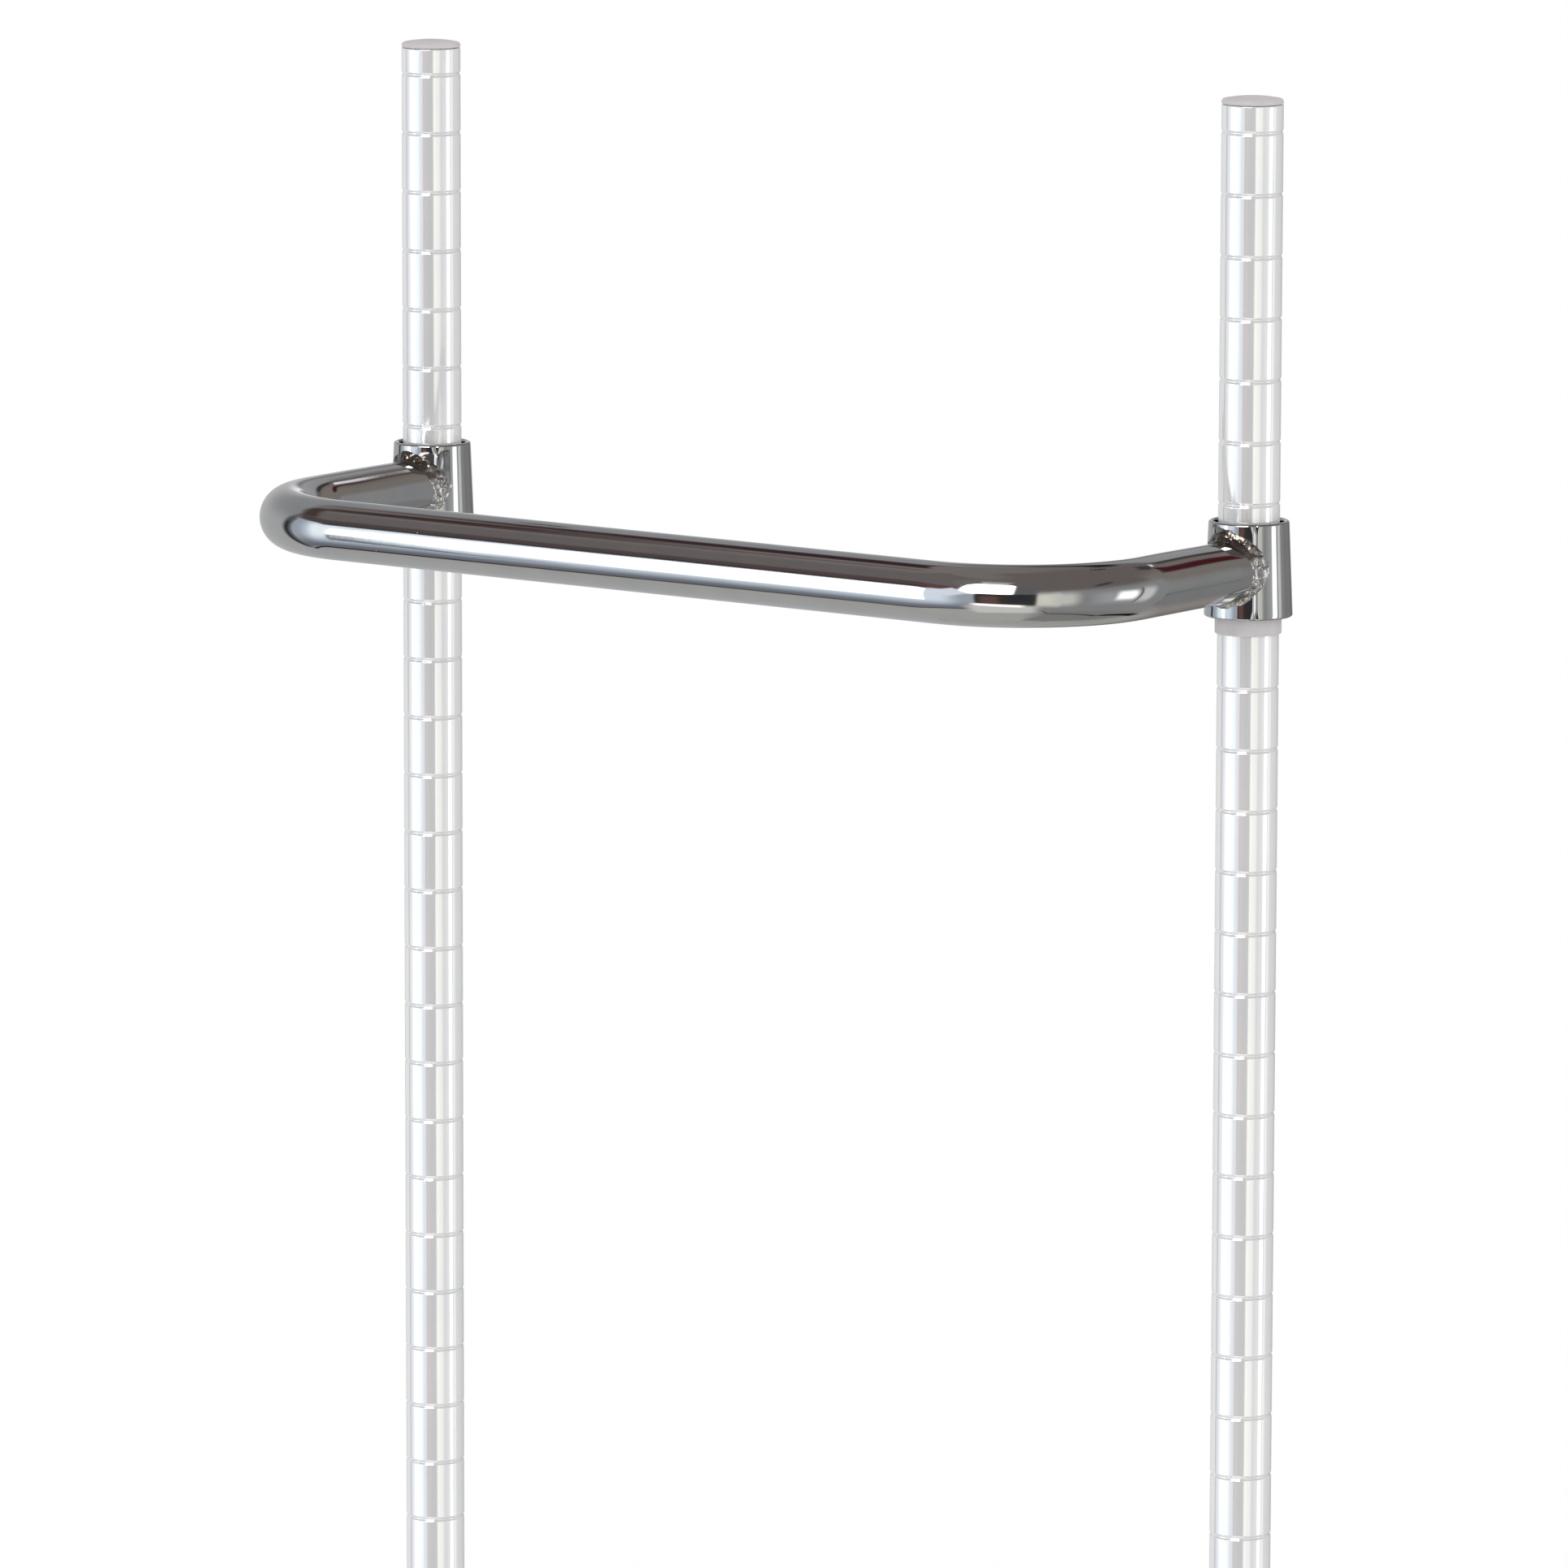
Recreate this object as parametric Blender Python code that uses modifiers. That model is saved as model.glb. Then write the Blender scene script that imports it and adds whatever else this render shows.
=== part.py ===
"""Two grooved steel posts joined near the top by a U-shaped handle bar.

The handle's two tapered collars drop over split sleeves that snap into the posts' grooves. Each post
has a domed cap at the top and a screw levelling foot at the bottom.

The frame: +Z is up, the posts stand along X, and the handle reaches out towards -Y. The origin is on
the floor, midway between the two post axes. Left is -X and right is +X. Everything is in metres.
"""

import math

import bmesh
import bpy
from mathutils import Matrix

# ---- Gaps -------------------------------------------------------------------------------------
FIT_GAP = 0.0003  # between any two pieces that touch or fit together
SPLIT_GAP = 0.0008  # between the two halves of a sleeve

# ---- Posts ------------------------------------------------------------------------------------
POST_SPACING = 0.427  # between the two post axes
POST_DIAMETER = 0.0254
POST_WALL = 0.0012
POST_LENGTH = 0.8636
POST_EDGE_CHAMFER = 0.0004
GROOVE_PITCH = 0.0254
GROOVE_WIDTH = 0.002
GROOVE_DEPTH = 0.0005
END_TO_GROOVE = 0.0111  # from the post's top end to the first groove, and the least at the bottom
HANDLE_GROOVE = 7  # grooves between the top one and the one that carries the handle
HANDLE_DROP = 0.0016  # from that groove down to the handle's axis

# ---- Post caps --------------------------------------------------------------------------------
CAP_DOME_HEIGHT = 0.0035
CAP_EDGE_RADIUS = 0.0018
CAP_SPIGOT_LENGTH = 0.012
CAP_SPIGOT_WALL = 0.0015

# ---- Split sleeves ----------------------------------------------------------------------------
SLEEVE_TOP_WALL = 0.0012
SLEEVE_BOTTOM_WALL = 0.0023
SLEEVE_BELOW_COLLAR = 0.0072
SLEEVE_RECESS = 0.0037  # from the collar's top rim down to the sleeve's top
SLEEVE_TURN = math.radians(35)  # of the halves about the post, away from front and rear

# ---- Handle -----------------------------------------------------------------------------------
TUBE_DIAMETER = 0.0254
TUBE_WALL = 0.0015
HANDLE_REACH = 0.137  # from the post axes to the bar's axis
BEND_RADIUS = 0.060  # of the tube's axis
COLLAR_MARGIN = 0.007  # collar above and below the tube
COLLAR_TOP_WALL = 0.0021
COLLAR_BOTTOM_WALL = 0.00265
COLLAR_RIM_ROUND = 0.0007
WELD_RADIUS = 0.0029  # of the round weld bead
WELD_OFFSET = 0.0012  # of the bead's centre from the tube's and the collar's surfaces

# ---- Levelling feet ---------------------------------------------------------------------------
INSERT_LENGTH = 0.020
INSERT_FLANGE = 0.0015
STEM_DIAMETER = 0.0095
STEM_LENGTH = 0.032  # above the hexagon
HEX_ACROSS_FLATS = 0.0159
HEX_HEIGHT = 0.006
EXPOSED_THREAD = 0.006  # between the hexagon and the insert, with the foot at mid height
NECK_DIAMETER = 0.007
STUD_HEAD_DIAMETER = 0.0115
STUD_HEAD_HEIGHT = 0.0018
PAD_DIAMETER = 0.0280
PAD_FLOOR = 0.0015
PAD_LIP = 0.0015
PAD_ROUND = 0.0012

# ---- Mesh fineness ----------------------------------------------------------------------------
ROUND_SIDES = 24
BEND_STEPS = 10
WELD_STEPS = 32
WELD_SIDES = 10

# ---- Sizes that follow from those above -------------------------------------------------------
POST_RADIUS = POST_DIAMETER / 2
POST_BORE = POST_RADIUS - POST_WALL
TUBE_RADIUS = TUBE_DIAMETER / 2
SLEEVE_BORE = POST_RADIUS + FIT_GAP
COLLAR_HALF_HEIGHT = TUBE_RADIUS + COLLAR_MARGIN
COLLAR_TOP_BORE = SLEEVE_BORE + SLEEVE_TOP_WALL + FIT_GAP
COLLAR_BOTTOM_BORE = SLEEVE_BORE + SLEEVE_BOTTOM_WALL + FIT_GAP
COLLAR_TOP_RADIUS = COLLAR_TOP_BORE + COLLAR_TOP_WALL
COLLAR_BOTTOM_RADIUS = COLLAR_BOTTOM_BORE + COLLAR_BOTTOM_WALL

STUD_HEAD_BOTTOM = PAD_FLOOR + FIT_GAP
PAD_CAVITY_TOP = STUD_HEAD_BOTTOM + STUD_HEAD_HEIGHT + FIT_GAP
PAD_HEIGHT = PAD_CAVITY_TOP + PAD_LIP
HEX_BOTTOM = PAD_HEIGHT + FIT_GAP
HEX_TOP = HEX_BOTTOM + HEX_HEIGHT
INSERT_BOTTOM = HEX_TOP + EXPOSED_THREAD
POST_BOTTOM = INSERT_BOTTOM + INSERT_FLANGE + FIT_GAP
POST_TOP = POST_BOTTOM + POST_LENGTH
HANDLE_HEIGHT = POST_TOP - END_TO_GROOVE - HANDLE_GROOVE * GROOVE_PITCH - HANDLE_DROP

SIDES = {"left": -POST_SPACING / 2, "right": POST_SPACING / 2}


# ---- Scene helpers ----------------------------------------------------------------------------
def clear_scene():
    for obj in list(bpy.data.objects):
        bpy.data.objects.remove(obj)


def new_collection(name):
    collection = bpy.data.collections.new(name)
    bpy.context.scene.collection.children.link(collection)
    return collection


def new_material(name, colour, metallic, roughness):
    material = bpy.data.materials.new(name)
    material.use_nodes = True
    shader = material.node_tree.nodes["Principled BSDF"]
    shader.inputs["Base Color"].default_value = (*colour, 1.0)
    shader.inputs["Metallic"].default_value = metallic
    shader.inputs["Roughness"].default_value = roughness
    return material


def add_object(name, data, collection, location=(0, 0, 0), material=None):
    obj = bpy.data.objects.new(name, data)
    obj.location = location
    collection.objects.link(obj)
    if material:
        data.materials.append(material)
    return obj


def as_cutter(obj):
    obj.hide_render = True
    obj.display_type = "WIRE"
    return obj


def boolean(obj, operation, other):
    modifier = obj.modifiers.new(f"{operation.title()} {other.name}", "BOOLEAN")
    modifier.operation = operation
    modifier.solver = "EXACT"
    modifier.object = other


# ---- Shape helpers ----------------------------------------------------------------------------
def turned(name, profile, closed, collection, location, material=None):
    """A shape turned about Z from (radius, height) points that run down its outer side.

    A closed profile is a ring's section; an open one starts and ends on the axis.
    """
    last = len(profile) - 1
    edges = [(i, i + 1) for i in range(last)]
    if closed:
        edges.append((last, 0))
    mesh = bpy.data.meshes.new(name)
    mesh.from_pydata([(radius, 0.0, height) for radius, height in profile], edges, [])
    obj = add_object(name, mesh, collection, location, material)
    turn = obj.modifiers.new("Turn", "SCREW")
    turn.axis = "Z"
    turn.angle = 2 * math.pi
    turn.steps = ROUND_SIDES
    turn.render_steps = ROUND_SIDES
    turn.use_merge_vertices = True
    turn.merge_threshold = 0.00001
    turn.use_smooth_shade = True
    return obj


def arc(centre_radius, centre_height, radius, start_deg, end_deg, steps):
    """(radius, height) points on an arc; 0 degrees is outwards and 90 is up."""
    points = []
    for i in range(steps + 1):
        angle = math.radians(start_deg + (end_deg - start_deg) * i / steps)
        points.append((centre_radius + radius * math.cos(angle), centre_height + radius * math.sin(angle)))
    return points


def block(name, size, centre, collection):
    """A box of that size about that centre."""
    shape = bmesh.new()
    bmesh.ops.create_cube(shape, size=1.0, matrix=Matrix.Diagonal((*size, 1.0)))
    mesh = bpy.data.meshes.new(name)
    shape.to_mesh(mesh)
    shape.free()
    return add_object(name, mesh, collection, centre)


def rod(name, radius, length, sides, centre, tilt, collection):
    """A solid cylinder, or a prism of a few sides, that stands along Z until tilted about X."""
    shape = bmesh.new()
    bmesh.ops.create_cone(
        shape,
        cap_ends=True,
        segments=sides,
        radius1=radius,
        radius2=radius,
        depth=length,
        matrix=Matrix.Rotation(tilt, 4, "X"),
    )
    mesh = bpy.data.meshes.new(name)
    shape.to_mesh(mesh)
    shape.free()
    return add_object(name, mesh, collection, centre)


def swept(name, points, radius, sides, cyclic, collection, location=(0, 0, 0)):
    """An open-ended or cyclic tube surface along the points, as a mesh object."""
    curve = bpy.data.curves.new(name + "_path", "CURVE")
    curve.dimensions = "3D"
    curve.bevel_depth = radius
    curve.bevel_resolution = (sides - 4) // 2
    spline = curve.splines.new("POLY")
    spline.points.add(len(points) - 1)
    for target, point in zip(spline.points, points):
        target.co = (*point, 1.0)
    spline.use_cyclic_u = cyclic
    guide = add_object(name + "_path", curve, collection, location)
    bpy.context.view_layer.update()
    graph = bpy.context.evaluated_depsgraph_get()
    mesh = bpy.data.meshes.new_from_object(guide.evaluated_get(graph))
    mesh.name = name
    place = guide.matrix_world.copy()
    bpy.data.objects.remove(guide)
    shape = bmesh.new()
    shape.from_mesh(mesh)
    bmesh.ops.remove_doubles(shape, verts=shape.verts, dist=0.00001)
    shape.to_mesh(mesh)
    shape.free()
    mesh.shade_smooth()
    obj = add_object(name, mesh, collection)
    obj.matrix_world = place
    return obj


# ---- Posts and caps ---------------------------------------------------------------------------
def groove_heights():
    """The grooves' heights above the post's bottom end, top first."""
    height = POST_LENGTH - END_TO_GROOVE
    heights = []
    while height >= END_TO_GROOVE - FIT_GAP:
        heights.append(height)
        height -= GROOVE_PITCH
    return heights


def post(side, parts, chrome):
    """A steel tube with a shallow groove rolled in at every pitch."""
    end = POST_RADIUS - POST_EDGE_CHAMFER
    profile = [(end, POST_LENGTH), (POST_RADIUS, POST_LENGTH - POST_EDGE_CHAMFER)]
    for height in groove_heights():
        profile.append((POST_RADIUS, height + GROOVE_WIDTH / 2))
        profile.append((POST_RADIUS - GROOVE_DEPTH, height))
        profile.append((POST_RADIUS, height - GROOVE_WIDTH / 2))
    profile += [(POST_RADIUS, POST_EDGE_CHAMFER), (end, 0.0)]
    profile += [(POST_BORE, 0.0), (POST_BORE, POST_LENGTH)]
    turned(f"{side}_post", profile, True, parts, (SIDES[side], 0, POST_BOTTOM), chrome)


def post_cap(side, parts, plastic):
    """A low dome on the post's end with a hollow spigot that grips the bore."""
    spigot = POST_BORE - FIT_GAP
    hollow = spigot - CAP_SPIGOT_WALL
    flat = FIT_GAP  # the dome's underside clears the tube's end
    rim = CAP_EDGE_RADIUS
    edge = arc(POST_RADIUS - rim, CAP_DOME_HEIGHT - rim, rim, 60, 0, 3)
    profile = [(0.0, CAP_DOME_HEIGHT), *edge, (POST_RADIUS, flat), (spigot, flat)]
    profile += [(spigot, -CAP_SPIGOT_LENGTH), (hollow, -CAP_SPIGOT_LENGTH), (hollow, flat), (0.0, flat)]
    turned(f"{side}_post_cap", profile, False, parts, (SIDES[side], 0, POST_TOP), plastic)


# ---- Split sleeves ----------------------------------------------------------------------------
def collar_radius(height, extra=0.0):
    """The collar's outer radius at a height above the handle's axis, plus some extra."""
    share = (height + COLLAR_HALF_HEIGHT) / (2 * COLLAR_HALF_HEIGHT)
    return COLLAR_BOTTOM_RADIUS + (COLLAR_TOP_RADIUS - COLLAR_BOTTOM_RADIUS) * share + extra


def sleeve_radius(height):
    """The sleeve's outer radius inside the collar's tapered bore, at a height above the handle's axis."""
    share = (height + COLLAR_HALF_HEIGHT) / (2 * COLLAR_HALF_HEIGHT)
    return COLLAR_BOTTOM_BORE + (COLLAR_TOP_BORE - COLLAR_BOTTOM_BORE) * share - FIT_GAP


def sleeve(side, parts, cutters, plastic):
    """The two halves of the tapered sleeve, whose inner rib sits in the post's groove."""
    top = COLLAR_HALF_HEIGHT - SLEEVE_RECESS
    bottom = -COLLAR_HALF_HEIGHT - SLEEVE_BELOW_COLLAR
    widest = sleeve_radius(-COLLAR_HALF_HEIGHT)
    rib_tip = POST_RADIUS - GROOVE_DEPTH + FIT_GAP
    rib_half = GROOVE_WIDTH / 2 * (SLEEVE_BORE - rib_tip) / GROOVE_DEPTH
    profile = [(sleeve_radius(top), top), (widest, -COLLAR_HALF_HEIGHT), (widest, bottom)]
    profile += [(SLEEVE_BORE, bottom), (SLEEVE_BORE, HANDLE_DROP - rib_half), (rib_tip, HANDLE_DROP)]
    profile += [(SLEEVE_BORE, HANDLE_DROP + rib_half), (SLEEVE_BORE, top)]
    place = (SIDES[side], 0, HANDLE_HEIGHT)
    reach = 4 * COLLAR_BOTTOM_RADIUS
    for half, direction in (("front", -1), ("rear", 1)):
        piece = turned(f"{side}_sleeve_{half}", profile, True, parts, place, plastic)
        offset = direction * (SPLIT_GAP / 2 - reach / 2)
        x = SIDES[side] - offset * math.sin(SLEEVE_TURN)
        centre = (x, offset * math.cos(SLEEVE_TURN), HANDLE_HEIGHT)
        half_space = block(f"{side}_{half}_split", (reach, reach, reach), centre, cutters)
        half_space.rotation_euler.z = SLEEVE_TURN
        boolean(piece, "DIFFERENCE", as_cutter(half_space))


# ---- Handle -----------------------------------------------------------------------------------
def collar_outline(extra, half_height):
    """The collar's outer side as two points, from top to bottom, grown by some extra."""
    return [(collar_radius(height, extra), height) for height in (half_height, -half_height)]


def collar(side, parts, chrome):
    """A tapered ring, wider at the bottom, with rounded rims."""
    half = COLLAR_HALF_HEIGHT
    rim = COLLAR_RIM_ROUND
    profile = arc(collar_radius(half) - rim, half - rim, rim, 90, 0, 2)
    profile += arc(collar_radius(-half) - rim, -half + rim, rim, 0, -90, 2)
    profile += [(COLLAR_BOTTOM_BORE, -half), (COLLAR_TOP_BORE, half - rim), (COLLAR_TOP_BORE + rim, half)]
    turned(f"{side}_collar", profile, True, parts, (SIDES[side], 0, HANDLE_HEIGHT), chrome)


def collar_cutter(side, cutters):
    """What is cut from the tube and the weld so that they meet the collar's outside."""
    outline = collar_outline(FIT_GAP, 2 * COLLAR_HALF_HEIGHT)
    profile = [(0.0, outline[0][1]), *outline, (0.0, outline[1][1])]
    place = (SIDES[side], 0, HANDLE_HEIGHT)
    return as_cutter(turned(f"{side}_collar_space", profile, False, cutters, place))


def handle_path():
    """The axis of the U-shaped tube, from the left post's axis to the right post's."""
    half = POST_SPACING / 2
    arm_end = -(HANDLE_REACH - BEND_RADIUS)
    left = [(-half, 0.0)]
    for i in range(BEND_STEPS + 1):
        angle = math.pi / 2 * i / BEND_STEPS
        x = -half + BEND_RADIUS * (1 - math.cos(angle))
        left.append((x, arm_end - BEND_RADIUS * math.sin(angle)))
    right = [(-x, y) for x, y in reversed(left)]
    return [(x, y, HANDLE_HEIGHT) for x, y in left + right]


def handle_tube(parts, collar_spaces, chrome):
    """The bent tube, open at both ends, which are coped to sit against the collars."""
    tube = swept("handle_tube", handle_path(), TUBE_RADIUS, ROUND_SIDES, False, parts)
    tube.data.materials.append(chrome)
    wall = tube.modifiers.new("Wall", "SOLIDIFY")
    wall.thickness = TUBE_WALL
    wall.offset = -1.0
    wall.use_even_offset = True
    for space in collar_spaces:
        boolean(tube, "DIFFERENCE", space)


def weld(side, parts, cutters, collar_space, chrome):
    """The fillet weld around the joint between tube and collar."""
    ring = TUBE_RADIUS + WELD_OFFSET
    points = []
    for i in range(WELD_STEPS):
        angle = 2 * math.pi * i / WELD_STEPS
        x = ring * math.sin(angle)
        height = ring * math.cos(angle)
        reach = math.sqrt(collar_radius(height, WELD_OFFSET) ** 2 - x * x)
        points.append((x, -reach, height))
    place = (SIDES[side], 0, HANDLE_HEIGHT)
    bead = swept(f"{side}_weld", points, WELD_RADIUS, WELD_SIDES, True, parts, place)
    bead.data.materials.append(chrome)
    boolean(bead, "DIFFERENCE", collar_space)
    centre = (SIDES[side], -HANDLE_REACH / 2, HANDLE_HEIGHT)
    bore = TUBE_RADIUS + FIT_GAP
    space = rod(f"{side}_tube_space", bore, HANDLE_REACH, ROUND_SIDES, centre, math.pi / 2, cutters)
    boolean(bead, "DIFFERENCE", as_cutter(space))


# ---- Levelling feet ---------------------------------------------------------------------------
def foot_insert(side, parts, steel):
    """A bush in the post's bottom end that the foot's stem screws into."""
    outer = POST_BORE - FIT_GAP
    bore = STEM_DIAMETER / 2 + FIT_GAP
    top = INSERT_FLANGE + FIT_GAP + INSERT_LENGTH
    profile = [(outer, top), (outer, INSERT_FLANGE), (POST_RADIUS, INSERT_FLANGE), (POST_RADIUS, 0.0)]
    profile += [(bore, 0.0), (bore, top)]
    turned(f"{side}_foot_insert", profile, True, parts, (SIDES[side], 0, INSERT_BOTTOM), steel)


def foot_stem(side, parts, cutters, steel):
    """The screw: a stem, a hexagon for the spanner, and a stud head held in the pad."""
    stem = STEM_DIAMETER / 2
    neck = NECK_DIAMETER / 2
    head = STUD_HEAD_DIAMETER / 2
    tip = stem / 4
    top = HEX_TOP + STEM_LENGTH
    middle = (HEX_BOTTOM + HEX_TOP) / 2
    head_top = STUD_HEAD_BOTTOM + STUD_HEAD_HEIGHT
    profile = [(0.0, top), (stem - tip, top), (stem, top - tip), (stem, middle), (neck, middle)]
    profile += [(neck, head_top), (head, head_top), (head, STUD_HEAD_BOTTOM), (0.0, STUD_HEAD_BOTTOM)]
    screw = turned(f"{side}_foot_stem", profile, False, parts, (SIDES[side], 0, 0), steel)
    corner = HEX_ACROSS_FLATS / 2 / math.cos(math.pi / 6)
    hexagon = rod(f"{side}_hexagon", corner, HEX_HEIGHT, 6, (SIDES[side], 0, middle), 0.0, cutters)
    boolean(screw, "UNION", as_cutter(hexagon))


def foot_pad(side, parts, plastic):
    """A round glide, flat underneath, that swivels on the screw's stud head."""
    outer = PAD_DIAMETER / 2
    cavity = STUD_HEAD_DIAMETER / 2 + FIT_GAP
    mouth = NECK_DIAMETER / 2 + FIT_GAP
    profile = arc(outer - PAD_ROUND, PAD_HEIGHT - PAD_ROUND, PAD_ROUND, 90, 0, 2)
    profile += [(outer, PAD_ROUND / 2), (outer - PAD_ROUND / 2, 0.0), (0.0, 0.0)]
    inside = [(0.0, PAD_FLOOR), (cavity, PAD_FLOOR), (cavity, PAD_CAVITY_TOP), (mouth, PAD_CAVITY_TOP)]
    inside += [(mouth, PAD_HEIGHT)]
    profile = [*inside, *profile]
    turned(f"{side}_foot_pad", profile, False, parts, (SIDES[side], 0, 0), plastic)


# ---- Assembly ---------------------------------------------------------------------------------
def main():
    clear_scene()
    parts = new_collection("valet_stand")
    cutters = new_collection("cutters")
    chrome = new_material("handle_chrome", (0.56, 0.56, 0.58), 1.0, 0.07)
    post_chrome = new_material("post_chrome", (0.88, 0.88, 0.90), 1.0, 0.12)
    cap_plastic = new_material("cap_plastic", (0.68, 0.65, 0.66), 0.0, 0.45)
    sleeve_plastic = new_material("sleeve_plastic", (0.60, 0.58, 0.59), 0.0, 0.5)
    foot_steel = new_material("foot_steel", (0.62, 0.62, 0.64), 1.0, 0.3)
    pad_plastic = new_material("pad_plastic", (0.60, 0.58, 0.59), 0.0, 0.5)
    collar_spaces = {side: collar_cutter(side, cutters) for side in SIDES}
    handle_tube(parts, collar_spaces.values(), chrome)
    for side in SIDES:
        post(side, parts, post_chrome)
        post_cap(side, parts, cap_plastic)
        sleeve(side, parts, cutters, sleeve_plastic)
        collar(side, parts, chrome)
        weld(side, parts, cutters, collar_spaces[side], chrome)
        foot_insert(side, parts, foot_steel)
        foot_stem(side, parts, cutters, foot_steel)
        foot_pad(side, parts, pad_plastic)


main()
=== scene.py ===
import math
import random
from collections import namedtuple

import bmesh
import bpy
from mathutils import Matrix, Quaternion, Vector, noise


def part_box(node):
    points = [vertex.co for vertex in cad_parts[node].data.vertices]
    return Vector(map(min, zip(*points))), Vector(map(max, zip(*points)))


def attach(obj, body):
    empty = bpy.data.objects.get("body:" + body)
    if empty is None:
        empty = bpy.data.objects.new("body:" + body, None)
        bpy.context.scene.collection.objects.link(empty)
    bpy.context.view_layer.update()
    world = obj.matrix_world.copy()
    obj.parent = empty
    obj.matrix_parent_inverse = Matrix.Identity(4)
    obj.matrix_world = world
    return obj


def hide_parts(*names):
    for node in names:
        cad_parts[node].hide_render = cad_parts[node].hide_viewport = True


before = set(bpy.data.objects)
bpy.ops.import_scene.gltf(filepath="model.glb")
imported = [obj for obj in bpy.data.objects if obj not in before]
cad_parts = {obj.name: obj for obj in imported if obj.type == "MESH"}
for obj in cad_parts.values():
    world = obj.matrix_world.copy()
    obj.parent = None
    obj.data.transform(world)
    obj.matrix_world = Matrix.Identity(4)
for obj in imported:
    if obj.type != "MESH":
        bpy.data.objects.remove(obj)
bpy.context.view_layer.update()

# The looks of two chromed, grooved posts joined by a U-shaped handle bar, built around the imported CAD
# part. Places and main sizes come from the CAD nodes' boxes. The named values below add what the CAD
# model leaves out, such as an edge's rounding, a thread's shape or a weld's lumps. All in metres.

SIDES = ("left", "right")
MM = 0.001


# ---- Sizes read from the frame ----------------------------------------------------------------
def middle(node):
    low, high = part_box(node)
    return (low + high) / 2


def extent(node):
    low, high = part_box(node)
    return high - low


def top_of(node):
    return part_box(node)[1].z


def bottom_of(node):
    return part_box(node)[0].z


POST_RADIUS = extent("left_post").x / 2
POST_TOP = top_of("left_post")
POST_BOTTOM = bottom_of("left_post")
CAP_TOP = top_of("left_post_cap")
HANDLE_HEIGHT = middle("left_collar").z
COLLAR_HALF = extent("left_collar").z / 2
COLLAR_BOTTOM_RADIUS = extent("left_collar").x / 2
TUBE_RADIUS = extent("handle_tube").z / 2
BAR_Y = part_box("handle_tube")[0].y + TUBE_RADIUS
SLEEVE_BOTTOM_RADIUS = extent("left_sleeve_front").x / 2
SLEEVE_TOP = top_of("left_sleeve_front")
SLEEVE_BOTTOM = bottom_of("left_sleeve_front")
INSERT_TOP = top_of("left_foot_insert")
INSERT_BOTTOM = bottom_of("left_foot_insert")
STEM_TOP = top_of("left_foot_stem")
PAD_TOP = top_of("left_foot_pad")
PAD_RADIUS = extent("left_foot_pad").x / 2

# ---- Sizes that only the looks need -----------------------------------------------------------
ROUND_SIDES = 96
GAP = 0.3 * MM  # between pieces that touch, as in the CAD model
CORE_RADIUS = 0.3 * MM  # of the small flat face that closes a turned shape at its axis

POST_WALL = 1.2 * MM
POST_END_ROUND = 0.4 * MM
GROOVE_PITCH = 25.4 * MM
END_TO_GROOVE = 11.1 * MM
HANDLE_DROP = 1.6 * MM  # from the groove that carries the handle to its axis
GROOVE_HALF_WIDTH = 1.1 * MM
GROOVE_DEPTH = 0.45 * MM
GROOVE_STEPS = 10
BESIDE_GROOVE = 0.2 * MM  # keeps the shading of the straight stretches straight

CAP_DOME = 1.1 * MM  # rise from the rounded edge to the middle
CAP_EDGE = 1.3 * MM
CAP_SPIGOT_LENGTH = 12.0 * MM

COLLAR_TOP_RADIUS = 16.6 * MM
COLLAR_TOP_WALL = 2.1 * MM
COLLAR_BOTTOM_WALL = 2.65 * MM
COLLAR_RIM = 0.8 * MM
COLLAR_ROWS = 24
SEAM_ANGLE = math.radians(43.5)  # from -Y towards +X
SEAM_HALF_WIDTH = 0.42 * MM
SEAM_DEPTH = 0.40 * MM
SEAM_FLARE = 0.9 * MM  # extra half width at the rims
SEAM_STEPS = 28

SLEEVE_EDGE = 0.5 * MM
SPLIT_GAP = 0.8 * MM
SLEEVE_TURN = math.radians(35)  # of the front half's middle, from -Y towards +X

TUBE_WALL = 1.5 * MM
BEND_RADIUS = 60 * MM
BEND_STEPS = 40
BEND_FLATTENING = 0.018  # the bent tube's narrowing, as a share of its radius
TUBE_STEP = 4 * MM
TUBE_UNEVENNESS = 0.02 * MM
ARM_UNEVENNESS = 6.0  # times as uneven near the welds' heat as along the bar
TUBE_WAVES = ((2, 0.11), (3, 0.07), (1, 0.19), (4, 0.045))  # turns round the tube, length along it

WELD_LEG_ON_TUBE = 3.3 * MM
WELD_LEG_ON_COLLAR = 3.0 * MM
WELD_RINGS = 360
WELD_SECTION = 19
WELD_LUMP_SPACING = 3.3 * MM
WELD_LUMP_HEIGHT = 0.45 * MM
WELD_SWELL_SPACING = 5.0 * MM
WELD_SWELL_HEIGHT = 0.7 * MM
WELD_CREASE_STEEPNESS = 2.2
WELD_TOE_SWAY = 0.9 * MM
WELD_TOE_SPACING = 2.0 * MM
WELD_TOE_QUICK_SHARE = 0.35  # of the sway, at the closer spacing
WELD_LEAST_LEG = 1.2 * MM
WELD_MOST_ON_COLLAR = 4.6 * MM
WELD_TOP_SHARE = 0.30  # how much heavier the weld is on top than at its sides
WELD_CROWN = 0.25 * MM
WELD_CORNER_SHARE = 0.45  # how far a section bulges, from its root to the line between its toes
WELD_ROOT_SHARE = 0.06  # how far the hidden edge lies inside the tube, towards its axis
# Between these heights the weld's colour turns into a painted reflection of the dark ceiling, which
# darkens it towards the top.
WELD_PAINTED_REFLECTION_FROM = 5 * MM  # above the handle's axis
WELD_PAINTED_REFLECTION_TO = 15 * MM
WELD_PAINTED_REFLECTION_SWAY = 6 * MM

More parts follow.
